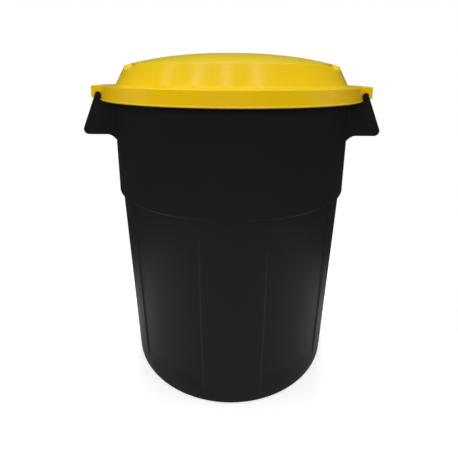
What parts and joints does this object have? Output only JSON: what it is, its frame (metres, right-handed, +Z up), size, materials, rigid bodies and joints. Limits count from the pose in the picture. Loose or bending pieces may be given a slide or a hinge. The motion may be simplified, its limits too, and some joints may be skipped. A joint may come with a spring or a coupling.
{
  "type": "lidded utility drum",
  "caption": "Tapered round plastic drum with a stepped shoulder, shallow sunk panels, two side handles and a crowned push-on lid with ears over the handles.",
  "frame": {"origin": "centre of the foot ring, on the floor", "axes": "+Z up; +X towards the right-hand handle, seen from the front; the front faces -Y"},
  "size_m": [0.6642, 0.5874, 0.7115],
  "materials": {
    "container": "injection-moulded black polyethylene, satin, fine moulded grain",
    "lid": "injection-moulded yellow polyethylene, semi-gloss"
  },
  "bodies": {
    "container": {"base_pan": "container", "lower_wall": "container", "step_ring": "container", "upper_wall": "container", "rim_collar": "container", "rim_ledge": "container", "rim_lip": "container", "left_grip": "container", "left_handle_roof": "container", "left_front_cheek": "container", "left_rear_cheek": "container", "right_grip": "container", "right_handle_roof": "container", "right_front_cheek": "container", "right_rear_cheek": "container"},
    "lid": {"lid_crown": "lid", "lid_shoulder": "lid", "lid_dome_wall": "lid", "lid_flange": "lid", "lid_front_skirt": "lid", "lid_rear_skirt": "lid", "lid_left_ear": "lid", "lid_right_ear": "lid"}
  },
  "joints": [
    {"name": "lid_lift", "type": "slide", "parent": "container", "child": "lid", "axis": [0, 0, 1], "range_m": [0, 0.15]}
  ]
}
